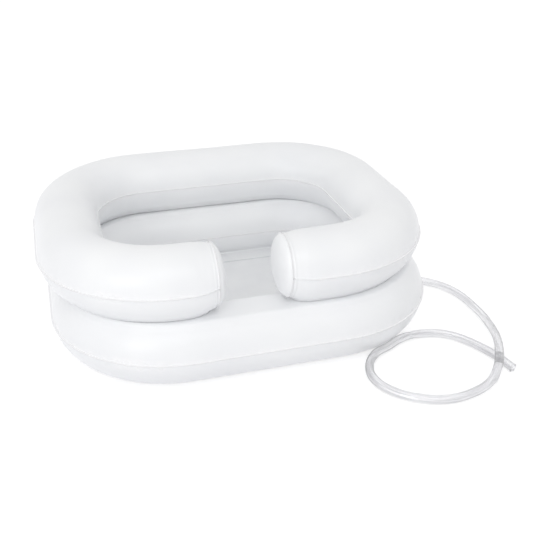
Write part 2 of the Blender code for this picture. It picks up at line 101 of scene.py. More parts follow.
# The hose's way along the ground, from the drain's spout to its cut end
HOSE_ROUTE_MM = [
    (180.5, -18, 7.25), (205, -18, 7.25), (230, -18, 7.25), (255, -18, 7.25), (280, -18, 7.25),
    (303, -20.5, 7.25), (326, -28, 7.25), (347, -40, 7.25), (368, -59.5, 7.25), (383, -85, 7.25),
    (390.5, -115, 7.25), (392, -151, 7.6), (389.5, -187, 9.5), (381, -225, 13.5), (368, -264.5, 18.8),
    (352, -299, 22), (337.5, -324.5, 20.8), (322.5, -344, 15), (307, -358, 9.8), (287, -368.5, 7.6),
    (263, -376, 7.25), (240, -379.5, 7.25), (217, -377.5, 7.25), (195, -369.5, 7.25),
    (172, -355, 7.25), (155, -335, 7.25), (145.5, -312, 7.25), (145, -287, 7.25), (156, -260, 7.25),
    (176, -238.5, 7.25), (199.5, -227.8, 7.25), (221.7, -215, 7.25), (240.5, -208.5, 7.25),
    (261, -207, 7.25), (282.5, -210.5, 7.25), (301, -219, 7.25), (315.5, -231.5, 7.25),
    (326.5, -247, 7.25), (337.5, -268, 7.25), (346, -290, 7.25), (352, -313, 7.25), (355.5, -336, 7.25),
]

WHITE = "#FFFFFF"
GRAIN_ROUGHNESS = 0.55
ROUNDED_FROM_DEG = 35


# Small helpers


def linear(colour: str) -> tuple[float, float, float, float]:
    """Turn a written sRGB colour into the linear one that a shader takes, by the standard's own numbers.

    Args:
        colour: Six hex digits after a hash sign.

    Returns:
        Linear red, green and blue, and an alpha of one.
    """
    shares = [int(colour[at:at + 2], 16) / 255 for at in (1, 3, 5)]
    red, green, blue = (share / 12.92 if share <= 0.04045 else ((share + 0.055) / 1.055) ** 2.4
                        for share in shares)
    return red, green, blue, 1.0


def fade(value: float, start: float, stop: float) -> float:
    """Give a share that goes smoothly from nought at start to one at stop, which may be below start."""
    share = min(1.0, max(0.0, (value - start) / (stop - start)))
    return share * share * (3 - 2 * share)


def press(height: float, rest: float, softness: float) -> float:
    """Give the height of film that is held up at rest, and bends into contact over a little height."""
    over = height - rest
    return rest + (over + math.sqrt(over * over + softness * softness)) / 2


def draw_down(height: float, rest: float, start: float, end: float) -> float:
    """Give the height of film that clings to film at rest: joined up to start apart, and free from end on."""
    over = max(0.0, height - rest)
    return rest + over * fade(over, start, end)


def chain(shape: BMesh, points: list[Vector | Triple], closed: bool = False) -> list[BMEdge]:
    """Start a shape from a run of vertices.

    Args:
        shape: The bmesh that the run goes into.
        points: Places of the vertices, in order.
        closed: Whether the last vertex is joined to the first.

    Returns:
        The run's edges, in order.
    """
    verts = [shape.verts.new(point) for point in points]
    edges = [shape.edges.new(pair) for pair in zip(verts, verts[1:])]
    if closed:
        edges.append(shape.edges.new((verts[-1], verts[0])))
    return edges


def carry_on(shape: BMesh, edges: list[BMEdge]) -> tuple[list[BMVert], list[BMEdge]]:
    """Add a row of faces to a sheet, which its caller still has to move into place.

    Args:
        shape: The sheet.
        edges: The edges that the row starts from.

    Returns:
        The row's new vertices and its new edges.
    """
    made = bmesh.ops.extrude_edge_only(shape, edges=edges)["geom"]
    verts = [item for item in made if isinstance(item, BMVert)]
    return verts, [item for item in made if isinstance(item, BMEdge)]


def border(shape: BMesh, chosen: Callable[[BMVert], bool]) -> list[BMEdge]:
    """Pick the edges of a sheet's open border whose two ends are both chosen."""
    return [edge for edge in shape.edges if edge.is_boundary and all(chosen(vert) for vert in edge.verts)]


def face_towards(shape: BMesh, way: Vector) -> None:
    """Make an open sheet's faces agree, and point towards a direction taken together.

    Args:
        shape: The sheet.
        way: The direction of its outer side.
    """
    bmesh.ops.recalc_face_normals(shape, faces=shape.faces)
    if sum(face.calc_area() * face.normal.dot(way) for face in shape.faces) < 0:
        bmesh.ops.reverse_faces(shape, faces=shape.faces)


def revolve(profile: list[Pair], steps: int = 72) -> BMesh:
    """Turn a profile about the Z axis.

    Args:
        profile: Radius and height of each point, from axis to axis, or once round a closed section.
        steps: Number of facets round the axis.

    Returns:
        The turned shape, closed at its poles.
    """
    shape = bmesh.new()
    closed = bool(profile[0][0] and profile[-1][0])
    edges = chain(shape, [(radius, 0, height) for radius, height in profile], closed)
    bmesh.ops.spin(shape, geom=list(shape.verts) + edges, cent=(0, 0, 0), axis=(0, 0, 1),
                   angle=2 * math.pi, steps=steps, use_merge=True)
    bmesh.ops.remove_doubles(shape, verts=shape.verts, dist=MERGE)
    bmesh.ops.recalc_face_normals(shape, faces=shape.faces)
    return shape


def make_piece(name: str, shape: BMesh, material: Material, place: Matrix | None = None,
               sharp_deg: float = 40) -> Object:
    """Turn a bmesh into a smooth-shaded object at the origin, with its place in its mesh.

    Args:
        name: The piece's name.
        shape: Its shape, which is used up.
        material: Its finish.
        place: Where the shape goes, if it isn't there yet.
        sharp_deg: Angle from which an edge stays sharp, in degrees.

    Returns:
        The new object.
    """
    if place is not None:
        bmesh.ops.transform(shape, matrix=place, verts=shape.verts)
    mesh = bpy.data.meshes.new(name)
    shape.to_mesh(mesh)
    shape.free()
    mesh.materials.append(material)
    mesh.shade_smooth()
    mesh.set_sharp_from_angle(angle=math.radians(sharp_deg))
    made = bpy.data.objects.new(name, mesh)
    bpy.context.collection.objects.link(made)
    LOG.info("%s: %d faces", name, len(mesh.polygons))
    return made


def give_thickness(piece: Object, thickness: float, offset: float = -1) -> None:
    """Turn a sheet into film of its real thickness.

    Args:
        piece: The sheet.
        thickness: How thick the film is.
        offset: -1 puts it behind the modelled side, nought half on each side.
    """
    wall = piece.modifiers.new("film", "SOLIDIFY")
    wall.thickness = thickness
    wall.offset = offset
    wall.use_even_offset = True
    wall.use_quality_normals = True


def round_edges(piece: Object, width: float, segments: int = 3) -> None:
    """Break a moulding's sharp edges.

    Args:
        piece: The moulding.
        width: Width of the rounding.
        segments: Facets across it.
    """
    bevel = piece.modifiers.new("rounding", "BEVEL")
    bevel.affect = "EDGES"
    bevel.width = width
    bevel.segments = segments
    bevel.profile = 0.5
    bevel.limit_method = "ANGLE"
    bevel.angle_limit = math.radians(ROUNDED_FROM_DEG)
    bevel.harden_normals = True


def hand_over(piece: Object, node: str, body: str = "basin") -> None:
    """Put a piece on the body that it rides on, and hide the imported node that it replaces.

    Args:
        piece: The piece.
        node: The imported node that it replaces.
        body: The body that it rides on.
    """
    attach(piece, body)
    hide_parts(node)


# Finishes


class Nodes:
    """A node tree, with short ways to add and join nodes."""

    def __init__(self, name: str, world: World | None = None) -> None:
        """Start the tree of a new material, which holds a Principled shader and the output.

        Args:
            name: The material's name.
            world: Surroundings whose tree is used instead.
        """
        self.material = None if world else bpy.data.materials.new(name)
        owner = world or self.material
        owner.use_nodes = True
        self.tree = owner.node_tree
        self.shader = self.tree.nodes.get("Principled BSDF")

    def add(self, kind: str, settings: dict | None = None, **inputs: object) -> Node:
        """Add a node.

        Args:
            kind: Its type, without the word that every shader node starts with.
            settings: Its own properties.
            inputs: Its sockets by name, with _ for a space: a value, or another node's socket to join.

        Returns:
            The node.
        """
        node = self.tree.nodes.new("ShaderNode" + kind)
        for key, value in (settings or {}).items():
            setattr(node, key, value)
        for key, value in inputs.items():
            self.feed(node.inputs[key.replace("_", " ")], value)
        return node

    def feed(self, socket: NodeSocket, value: object) -> None:
        """Set a socket, or join another node's output to it.

        Args:
            socket: The socket.
            value: What it is set to, or the output that is joined to it.
        """
        if isinstance(value, NodeSocket):
            self.tree.links.new(value, socket)
        else:
            socket.default_value = value

    def shade(self, **inputs: object) -> None:
        """Set or join the shader's sockets by name, with _ for a space."""
        for key, value in inputs.items():
            self.feed(self.shader.inputs[key.replace("_", " ")], value)

    def spot(self) -> NodeSocket:
        """Give the place on the piece, in metres."""
        return self.add("TexCoord").outputs["Object"]

    def stored(self, name: str, output: str = "Fac") -> NodeSocket:
        """Give a value that the mesh stores at its points."""
        return self.add("Attribute", {"attribute_name": name}).outputs[output]

    def reckon(self, operation: str, *values: object) -> NodeSocket:
        """Work out a value from others.

        Args:
            operation: The name of the sum.
            values: Its numbers, or the sockets that they come from, in order.

        Returns:
            The result's socket.
        """
        node = self.add("Math", {"operation": operation})
        for socket, value in zip(node.inputs, values):
            self.feed(socket, value)
        return node.outputs[0]

    def rays(self, *names: str) -> NodeSocket:
        """Give one for the named kinds of ray and nought for the others.

        Args:
            names: The kinds of ray.

        Returns:
            The value's socket.
        """
        path = self.add("LightPath")
        value = path.outputs[names[0]]
        for name in names[1:]:
            value = self.reckon("MAXIMUM", value, path.outputs[name])
        return value

    def grain(self, size: float, detail: float = 2, place: NodeSocket | None = None) -> NodeSocket:
        """Give an uneven pattern from nought to one.

        Args:
            size: Size of its patches, in metres.
            detail: How many finer layers it has.
            place: Where it is looked up, if not by the place on the piece.

        Returns:
            The pattern's socket.
        """
        node = self.add("TexNoise", Scale=1 / size, Detail=detail, Roughness=GRAIN_ROUGHNESS,
                        Vector=place or self.spot())
        return node.outputs["Fac"]

    def span(self, value: NodeSocket, low: float, high: float, start: float = 0.3,
             stop: float = 0.7) -> NodeSocket:
        """Spread a value over a range, such as the middle of a pattern.

        Args:
            value: The value.
            low: What it becomes at start and below.
            high: What it becomes at stop and above.
            start: Where the range begins.
            stop: Where it ends.

        Returns:
            The new value's socket.
        """
        node = self.add("MapRange", {"clamp": True}, Value=value, From_Min=start, From_Max=stop, To_Min=low,
                        To_Max=high)
        return node.outputs["Result"]

    def blend(self, share: NodeSocket, first: NodeSocket | str, second: str) -> NodeSocket:
        """Mix two colours.

        Args:
            share: How much of the second one shows.
            first: The colour where the share is nought, written or joined from another node.
            second: The colour where it is one.

        Returns:
            The colour's socket.
        """
        node = self.add("Mix", {"data_type": "RGBA"}, Factor=share)
        ends = {socket.name: socket for socket in node.inputs if socket.type == "RGBA"}
        self.feed(ends["A"], linear(first) if isinstance(first, str) else first)
        self.feed(ends["B"], linear(second))
        return next(socket for socket in node.outputs if socket.type == "RGBA")

    def emboss(self, height: NodeSocket, depth: float, strength: float = 1.0,
               under: NodeSocket | None = None) -> NodeSocket:
        """Turn a pattern into relief.

        Args:
            height: The pattern.
            depth: How deep it goes, in metres.
            strength: How much of it shows.
            under: Relief that this one is laid on.

        Returns:
            The normal's socket.
        """
        node = self.add("Bump", Strength=strength, Distance=depth, Height=height)
        if under is not None:
            self.feed(node.inputs["Normal"], under)
        return node.outputs["Normal"]


@dataclass(frozen=True)
class WeldedFilm:
    """Calendered soft PVC film, blown up and welded.

    The eye sees a soft satin white with a broad, uneven gloss, the faint orange peel of the rolls, and
    along each weld a band that the electrode has pressed smoother.
    """

    name: str = "calendered_pvc_film"
    light: str = "#FBFCFD"
    dull: str = "#F6F7F9"
    weld: str = "#FDFDFE"
    cloud_size: float = 110 * MM
    gloss_size: float = 35 * MM
    gloss_low: float = 0.30
    gloss_high: float = 0.40
    weld_smoother: float = -0.1
    peel_size: float = 4 * MM
    peel_depth: float = 0.02 * MM
    roll_size: float = 0.7 * MM
    roll_depth: float = 0.006 * MM
    roll_strength: float = 0.8
    ior: float = 1.53

    def make(self) -> Material:
        """Build the material.

        Returns:
            The material.
        """
        nodes = Nodes(self.name)
        weld = nodes.stored("weld")
        cloud = nodes.blend(nodes.span(nodes.grain(self.cloud_size), 0, 1), self.dull, self.light)
        satin = nodes.span(nodes.grain(self.gloss_size, 3), self.gloss_low, self.gloss_high)
        peel = nodes.emboss(nodes.grain(self.peel_size), self.peel_depth)
        rolled = nodes.emboss(nodes.grain(self.roll_size, 1), self.roll_depth, self.roll_strength, peel)
        nodes.shade(Base_Color=nodes.blend(weld, cloud, self.weld),
                    Roughness=nodes.reckon("MULTIPLY_ADD", weld, self.weld_smoother, satin),
                    Normal=rolled, IOR=self.ior)
        return nodes.material


@dataclass(frozen=True)
class EmbossedSheet:
    """PVC sheet of the floor, embossed to a fine matt grain.

    The eye sees a flatter white than on the rings, with the roller's fine pebbles, dull smudges where water
    has dried, and a greyer line painted along the weld as the shade that falls in its groove.
    """

    name: str = "embossed_pvc_sheet"
    light: str = "#FAFBFC"
    dull: str = "#F4F5F7"
    # Painted shade: the grey of the weld line stands in for the shade in the weld's groove
    groove_shade: str = "#D2D4D7"
    smudge_size: float = 45 * MM
    rough_dull: float = 0.52
    rough_light: float = 0.40
    pebble: float = 1.1 * MM
    pebble_depth: float = 0.03 * MM
    pebble_strength: float = 0.7
    ior: float = 1.53

    def make(self) -> Material:
        """Build the material.

        Returns:
            The material.
        """
        nodes = Nodes(self.name)
        smudge = nodes.grain(self.smudge_size, 4)
        pebbles = nodes.add("TexVoronoi", {"feature": "SMOOTH_F1"}, Scale=1 / self.pebble,
                            Vector=nodes.spot())
        pebbled = nodes.emboss(pebbles.outputs["Distance"], self.pebble_depth, self.pebble_strength)
        plain = nodes.blend(nodes.span(smudge, 0, 1), self.dull, self.light)
        # The weld mask lays the painted groove shade over the plain sheet
        nodes.shade(Base_Color=nodes.blend(nodes.stored("weld"), plain, self.groove_shade),
                    Roughness=nodes.span(smudge, self.rough_dull, self.rough_light), Normal=pebbled,
                    IOR=self.ior)
        return nodes.material


@dataclass(frozen=True)
class ClearTube:
    """Clear extruded PVC of the hose.

    The eye sees the ground through it, a greyer line along both edges, partly because it looks through more
    of the wall there and partly painted shade for the darker surroundings that a clear tube bends into view
    at its edges, bright streaks on its polished skin and fine lines that the die drew along it. The wall is
    thin, so it hardly bends what is seen through it, and its own IOR is set low. Its skin has that of PVC.
    """

    name: str = "clear_extruded_pvc"
    tint: str = "#FEFEFE"
    cloudy: str = "#D6D6D8"
    # Grey at the tube's edges: partly the wall seen edge-on, partly painted shade for darker surroundings
    edge: str = "#8F8F91"
    edge_shade_start: float = 0.45
    edge_shade_end: float = 0.95
    line_width: float = 3.5 * MM
    line_shrink: float = 0.03
    line_depth: float = 0.15 * MM
    line_strength: float = 0.7
    wall_ior: float = 1.04
    skin_ior: float = 1.53
    skin_gloss: float = 0.05

    def make(self) -> Material:
        """Build the material.

        Returns:
            The material.
        """
        nodes = Nodes(self.name)
        unrolled = nodes.stored("unrolled", "Vector")
        stretched = nodes.add("Mapping", Vector=unrolled, Scale=(self.line_shrink, 1, 1)).outputs["Vector"]
        lines = nodes.grain(self.line_width, 2, stretched)
        clear = nodes.blend(nodes.span(lines, 0, 1), self.tint, self.cloudy)
        # Painted shade: the facing angle greys the tube towards its edges, partly for the longer path through
        # the wall
        facing = nodes.add("LayerWeight", Blend=0.5).outputs["Facing"]
        rim = nodes.add("MapRange", {"interpolation_type": "SMOOTHSTEP"}, Value=facing,
                        From_Min=self.edge_shade_start, From_Max=self.edge_shade_end).outputs["Result"]
        relief = nodes.emboss(lines, self.line_depth, self.line_strength)
        nodes.shade(Base_Color=nodes.blend(rim, clear, self.edge), Roughness=0.0, Normal=relief,
                    Coat_Normal=relief, IOR=self.wall_ior, Transmission_Weight=1.0, Coat_Weight=1.0,
                    Coat_Roughness=self.skin_gloss, Coat_IOR=self.skin_ior)
        return nodes.material


@dataclass(frozen=True)
class Moulding:
    """Injection-moulded plastic of the valves and the drain.

    The eye sees an even white with the mould's fine spark-eroded texture and a slightly duller skin in
    patches.
    """

    name: str
    light: str
    dull: str
    gloss_low: float
    gloss_high: float
    texture: float
    texture_depth: float = 0.012 * MM
    texture_strength: float = 0.6
    patch: float = 9 * MM
    ior: float = 1.5

    def make(self) -> Material:
        """Build the material.

        Returns:
            The material.
        """
        nodes = Nodes(self.name)
        skin = nodes.grain(self.patch, 3)
        eroded = nodes.emboss(nodes.grain(self.texture), self.texture_depth, self.texture_strength)
        nodes.shade(Base_Color=nodes.blend(nodes.span(skin, 0, 1), self.dull, self.light),
                    Roughness=nodes.span(skin, self.gloss_low, self.gloss_high), Normal=eroded, IOR=self.ior)
        return nodes.material


@dataclass
class Finishes:
    """Every finish of the basin, made once."""

    film: Material = field(default_factory=lambda: WeldedFilm().make())
    sheet: Material = field(default_factory=lambda: EmbossedSheet().make())
    clear: Material = field(default_factory=lambda: ClearTube().make())
    soft: Material = field(default_factory=lambda: Moulding(
        "soft_moulded_pvc", light="#F3F4F5", dull="#EDEEF0", gloss_low=0.30, gloss_high=0.42,
        texture=0.5 * MM).make())
    hard: Material = field(default_factory=lambda: Moulding(
        "moulded_abs", light="#F5F5F3", dull="#EFEFEC", gloss_low=0.24, gloss_high=0.34,
        texture=0.35 * MM).make())


# Air rings


class Side(Enum):
    """Half of an air ring."""

    TOP = 1
    BOTTOM = -1


@dataclass(frozen=True)
class Spot:
    """Where a point lies on a ring.

    Attributes:
        middle: The nearest point of the tube's centre line.
        way: Direction from there away from the ring's middle, level.
        out: Distance from the centre line along it, outwards.
        up: Height over the centre line.
        bend: How far into a corner it is, from nought on a straight to one.
    """

    middle: Vector
    way: Vector
    out: float
    up: float
    bend: float


@dataclass(frozen=True)
class Ring:
    """Path and section of one air ring: an oval tube round a rounded rectangle."""

    centre: Triple
    rise: float
    stacked_on: float | None = None
    stacked_under: float | None = None
    radius: float = 51 * MM
    reach_x: float = 115 * MM
    reach_y: float = 64 * MM
    corner: float = 139 * MM
    fin: float = 2.5 * MM
    inner_fin: float = 1.3 * MM
    fin_shares: tuple[float, ...] = (1, 0.6, 0.25)
    tube_parts: int = 60
    seam_detail: float = 0.35
    step: float = 2.6 * MM

    def corners(self) -> list[Vector]:
        """Give the centres of the corner arcs, clockwise from the front left."""
        signs = [(-1, -1), (-1, 1), (1, 1), (1, -1)]
        return [Vector(self.centre) + Vector((self.reach_x * x, self.reach_y * y, 0)) for x, y in signs]

    def front_y(self) -> float:
        """Give the place of the centre line along the front."""
        return self.centre[1] - self.reach_y - self.corner

    def half_section(self, side: Side) -> list[Pair]:
        """Trace one half of the tube with its two seam fins, from the outer seam inwards.

        Args:
            side: Which half.

        Returns:
            Distance outwards from the centre line and height over it, for each point.
        """
        seam = FILM_GAP / 2 + FILM
        start = math.asin(seam / self.rise)
        points = [(self.radius + self.fin * share, side.value * seam) for share in self.fin_shares]
        for step in range(self.tube_parts + 1):
            share = step / self.tube_parts
            share -= self.seam_detail * math.sin(2 * math.pi * share) / (2 * math.pi)
            angle = start + (math.pi - 2 * start) * share
            points.append((self.radius * math.cos(angle), side.value * self.rise * math.sin(angle)))
        return points + [(-self.radius - self.inner_fin * share, side.value * seam)
                         for share in reversed(self.fin_shares)]

    def whole_section(self) -> list[Pair]:
        """Trace the whole tube without fins, once round.

        Returns:
            Distance outwards from the centre line and height over it, for each point.
        """
        parts = 2 * self.tube_parts
        turns = [2 * math.pi * step / parts for step in range(parts)]
        return [(self.radius * math.cos(turn), self.rise * math.sin(turn)) for turn in turns]

    def spot(self, point: Vector) -> Spot:
        """Find where a point lies on the ring.

        Args:
            point: The point.

        Returns:
            Its spot on the ring.
        """
        local = point - Vector(self.centre)
        foot = Vector((min(self.reach_x, max(-self.reach_x, local.x)),
                       min(self.reach_y, max(-self.reach_y, local.y)), 0))
        away = Vector((local.x - foot.x, local.y - foot.y, 0))
        way = away.normalized()
        middle = Vector(self.centre) + foot + way * self.corner
        return Spot(middle, way, away.length - self.corner, local.z, abs(2 * way.x * way.y))

    def run(self, shape: BMesh, section: list[Pair], place: Vector, way: Vector,
            move: Vector | None = None, turn_centre: Vector | None = None) -> None:
        """Add one straight or one corner of the swept section to a shape.

        Args:
            shape: The shape that it is added to.
            section: Distance outwards and height of each point.
            place: Where the centre line starts.
            way: Direction outwards there.
            move: The straight's way and length.
            turn_centre: The corner's centre, if it isn't a straight.
        """
        part = bmesh.new()
        edges = chain(part, [place + way * out + Vector((0, 0, up)) for out, up in section])
        length = move.length if move else self.corner * math.pi / 2
        parts = max(1, round(length / self.step))
        bmesh.ops.spin(part, geom=list(part.verts) + edges, cent=turn_centre or place, axis=(0, 0, 1),
                       dvec=move / parts if move else (0, 0, 0), angle=0 if move else -math.pi / 2,
                       steps=parts, use_merge=False)
        carrier = bpy.data.meshes.new("run")
        part.to_mesh(carrier)
        part.free()
        shape.from_mesh(carrier)
        bpy.data.meshes.remove(carrier)

    def sweep(self, section: list[Pair], start_x: float, end_x: float) -> BMesh:
        """Carry a section round the ring, from its front clockwise to its front again.

        Args:
            section: Distance outwards and height of each point.
            start_x: Where it starts along the front.
            end_x: Where it ends there; the same place closes the ring.

        Returns:
            The swept sheet.
        """
        shape = bmesh.new()
        place = Vector((start_x, self.front_y(), self.centre[2]))
        way = Vector((0, -1, 0))
        for corner in self.corners():
            goal = corner + way * self.corner
            self.run(shape, section, place, way, goal - place)
            self.run(shape, section, goal, way, turn_centre=corner)
            way = Matrix.Rotation(-math.pi / 2, 3, "Z") @ way
            place = corner + way * self.corner
        self.run(shape, section, place, way, Vector((end_x - place.x, 0, 0)))
        bmesh.ops.remove_doubles(shape, verts=shape.verts, dist=MERGE)
        return shape


LOWER = Ring(centre=(5 * MM, -5 * MM, 54.5 * MM), rise=55 * MM, stacked_under=105.75 * MM)
UPPER = Ring(centre=(-5 * MM, 5 * MM, 156.3 * MM), rise=54 * MM, stacked_on=106.05 * MM)


@dataclass(frozen=True)
class Puckers:
    """How flat film gathers where air has drawn its weld in.

    The outer seam is drawn in round the corners, so short ridges run up from it there. The inner seam is
    pulled tight and hardly gathers.
    """

    depth: float = 1.5 * MM
    inner_share: float = 0.13
    straight_share: float = 0.05
    full_bend: float = 0.8
    pitch: float = 7 * MM
    rise: float = 5 * MM
    wander: float = 0.6 * MM
    wander_pitch: float = 14 * MM
    wander_reach: float = 9 * MM
    swell: float = 0.8 * MM
    swell_size: float = 65 * MM
    outer_seed: float = 3.7
    inner_seed: float = 11.3
    wander_seed: float = 5

    def ridge(self, spot: Spot, seed: float) -> float:
        """Give the height of the ridges that cross the seam here, about -1 to 1."""
        return noise.noise(spot.middle / self.pitch + Vector((0, 0, seed)))

    def move(self, spot: Spot, point: Vector, ring: Ring) -> Vector:
        """Find how far the film stands off its even shape.

        Args:
            spot: Where the point lies on the ring.
            point: The point itself.
            ring: The ring.

        Returns:
            The point's move.
        """
        angle = abs(math.atan2(spot.up / ring.rise, spot.out / ring.radius))
        normal = (spot.way * (math.cos(angle) / ring.radius)
                  + Vector((0, 0, math.copysign(math.sin(angle), spot.up) / ring.rise))).normalized()
        gather = self.straight_share + (1 - self.straight_share) * fade(spot.bend, 0, self.full_bend)
        total = Vector((0, 0, 0))
        for distance, share, seed in ((angle * ring.radius, 1.0, self.outer_seed),
                                      ((math.pi - angle) * ring.radius, self.inner_share, self.inner_seed)):
            off = distance / self.rise
            total += normal * (self.depth * share * gather * self.ridge(spot, seed) * off * math.exp(1 - off))
            wave = noise.noise(spot.middle / self.wander_pitch + Vector((0, 0, seed + self.wander_seed)))
            total.z += self.wander * share * gather * wave * math.exp(-distance / self.wander_reach)
        broad = noise.noise(point / self.swell_size) * math.sin(angle) ** 2
        return total + normal * (self.swell * broad)


@dataclass(frozen=True)
class ArmEnd:
    """How the weld of a cap draws in the end of an arm.

    The weld is a band between two raised lines: one runs round the film a little way back, the other is
    the fin where the film and the cap are pressed together. Each row of the band has its distance from the
    fin and how far it stands out.
    """

    draw: float = 0.14
    draw_power: float = 2.2
    lift: float = 3.5 * MM
    reach: float = 44 * MM
    fin: float = 2.2 * MM
    rows: tuple[Pair, ...] = ((5.0 * MM, 0), (4.4 * MM, 0.5 * MM), (3.7 * MM, 0.5 * MM), (3.1 * MM, 0),
                              (1.5 * MM, -0.2 * MM), (0, 0))
    crease: float = 0.75 * MM
    crease_pitch: float = 7 * MM
    crease_length: float = 50 * MM
    crease_rise: float = 7 * MM
    crease_full_share: float = 0.3

    @property
    def band(self) -> float:
        """Give how far back from the fin the weld's band begins."""
        return self.rows[0][0]

    def move(self, point: Vector, ring: Ring, from_weld: float) -> Vector:
        """Find where a point of the arm's film goes.

        Args:
            point: The point on the straight tube.
            ring: The ring that the arm belongs to.
            from_weld: How far along the arm the weld is.

        Returns:
            The point's new place.
        """
        if from_weld >= self.reach:
            return point
        share = (1 - max(0.0, from_weld) / self.reach) ** self.draw_power
        middle = Vector((point.x, ring.front_y(), ring.centre[2]))
        away = point - middle
        slack = (fade(from_weld, self.band, self.band + self.crease_rise)
                 * fade(from_weld, self.reach, self.crease_full_share * self.reach))
        wave = noise.noise(Vector((point.x / self.crease_pitch, away.y / self.crease_length,
                                   away.z / self.crease_length)))
        return (middle + away * (1 - self.draw * share) + Vector((0, 0, self.lift * share))
                + away.normalized() * (self.crease * slack * wave))


@dataclass
class AirRing:
    """One air ring: its two panels of film, and the hole that its valve sits in.

    The front of an open ring is missing from start_x to end_x. A closed ring has both at the same place.
    Where the hose passes under the ring, a dent runs across its underside at dent_y.
    """

    name: str
    ring: Ring
    film: Material
    valve_foot: Vector
    valve_way: Vector
    start_x: float = 0.0
    end_x: float = 0.0
    dent_y: float | None = None
    dent_from_x: float = 150 * MM
    dent_half: float = 46 * MM
    dent_roof_half: float = 4 * MM
    dent_roof: float = 14.55 * MM
    valve_hole: float = 9.5 * MM
    puckers: Puckers = Puckers()
    arm_end: ArmEnd = ArmEnd()
    softness: float = 0.6 * MM
    joined: Pair = (3 * MM, 6 * MM)
    weld_edge: float = 0.8 * MM
    end_weld: float = 2 * MM
    end_weld_over: float = 4 * MM

    @property
    def is_open(self) -> bool:
        """Tell whether the ring is open at its front."""
        return self.start_x != self.end_x

    def ground_under(self, point: Vector) -> float:
        """Give the height of what the ring stands on, which is the hose where it passes under the ring.

        Args:
            point: The point of the film.

        Returns:
            The height under it.
        """
        if self.dent_y is None or point.x < self.dent_from_x:
            return 0.0
        return self.dent_roof * fade(abs(point.y - self.dent_y), self.dent_half, self.dent_roof_half)

    def lie(self, shape: BMesh) -> None:
        """Gather the film at its seams, and press it against what it lies on.

        Args:
            shape: The swept panel.
        """
        for vert in shape.verts:
            spot = self.ring.spot(vert.co)
            vert.co += self.puckers.move(spot, vert.co, self.ring)
            if self.is_open and spot.middle.y < self.ring.front_y() + MERGE:
                along = self.start_x - vert.co.x if vert.co.x < 0 else vert.co.x - self.end_x
                vert.co = self.arm_end.move(vert.co, self.ring, along)
            if spot.up < 0 and self.ring.stacked_on is not None:
                vert.co.z = draw_down(vert.co.z, self.ring.stacked_on, *self.joined)
            elif spot.up < 0:
                vert.co.z = press(vert.co.z, self.ground_under(vert.co), self.softness)
            elif self.ring.stacked_under is not None:
                vert.co.z = -draw_down(-vert.co.z, -self.ring.stacked_under, *self.joined)

    def rim(self, shape: BMesh, x: float) -> list[BMEdge]:
        """Pick the edges of the film's open border at a place along the front."""
        return border(shape, lambda vert: abs(vert.co.x - x) < MERGE)

    def carry_to_welds(self, shape: BMesh) -> list[tuple[list[BMVert], float]]:
        """Carry the film on to the ends of the arms, in rows for the weld's band.

        Args:
            shape: The swept panel, which stops where the bands begin.

        Returns:
            The new rows of vertices, each with how far it stands out.
        """
        rows = []
        for end_x, way in ((self.start_x, 1), (self.end_x, -1)):
            edges = self.rim(shape, end_x - way * self.arm_end.band)
            for from_weld, out in self.arm_end.rows[1:]:
                verts, edges = carry_on(shape, edges)
                for vert in verts:
                    vert.co.x = end_x - way * from_weld
                rows.append((verts, out))
        return rows

    def turn_out(self, shape: BMesh, rows: list[tuple[list[BMVert], float]]) -> None:
        """Raise the band's line and turn the film out into the fin that the cap is welded to.

        Args:
            shape: The panel as it lies.
            rows: What carry_to_welds returned.
        """
        fins = [(carry_on(shape, self.rim(shape, end_x))[0], self.arm_end.fin)
                for end_x in (self.start_x, self.end_x)]
        level = Vector((0, self.ring.front_y(), self.ring.centre[2] + self.arm_end.lift))
        for verts, out in rows + fins:
            for vert in verts:
                away = (vert.co - level) * Vector((0, 1, 1))
                vert.co += away.normalized() * out

    def cut_valve_hole(self, shape: BMesh) -> None:
        """Take the film away where the valve passes through it.

        Args:
            shape: The upper panel as it lies.
        """
        def off_axis(point: Vector) -> Vector:
            """Give the way from the valve's axis to a point, square to the axis."""
            away = point - self.valve_foot
            return away - self.valve_way * away.dot(self.valve_way)

        near = [face for face in shape.faces
                if (face.calc_center_median() - self.valve_foot).length < 2 * self.valve_hole
                and off_axis(face.calc_center_median()).length < self.valve_hole]
        bmesh.ops.delete(shape, geom=near, context="FACES")
        for vert in shape.verts:
            if vert.is_boundary and (vert.co - self.valve_foot).length < 2 * self.valve_hole:
                away = off_axis(vert.co)
                vert.co += away.normalized() * (self.valve_hole - away.length)

    def store(self, shape: BMesh) -> None:
        """Store for the finish how close each point is to a weld.

        Args:
            shape: The panel as it lies.
        """
        weld = shape.verts.layers.float.new("weld")
        radius, edge = self.ring.radius, self.weld_edge
        for vert in shape.verts:
            vert[weld] = fade(abs(self.ring.spot(vert.co).out), radius - edge, radius + edge)
            if self.is_open and abs(vert.co.y - self.ring.front_y()) < radius + self.end_weld_over:
                near = min(abs(vert.co.x - self.start_x), abs(vert.co.x - self.end_x))
                vert[weld] = max(vert[weld], fade(near, self.end_weld, 0))

    def build_panel(self, side: Side) -> Object:
        """Build one panel.

        Args:
            side: Which half of the ring it covers.

        Returns:
            The panel.
        """
        band = self.arm_end.band if self.is_open else 0.0
        shape = self.ring.sweep(self.ring.half_section(side), self.start_x - band, self.end_x + band)
        rows = self.carry_to_welds(shape) if self.is_open else []
        self.lie(shape)
        if self.is_open:
            self.turn_out(shape, rows)
        face_towards(shape, Vector((0, 0, side.value)))
        if side is Side.TOP:
            self.cut_valve_hole(shape)
        self.store(shape)
        panel = make_piece(f"{self.name}_{side.name.lower()}_film", shape, self.film, sharp_deg=60)
        give_thickness(panel, FILM)
        return panel

    def build(self) -> None:
        """Build both panels and hand them to the frame."""
        for side in Side:
            panel = self.build_panel(side)
            hand_over(panel, f"{self.name}_{side.name.lower()}_panel")


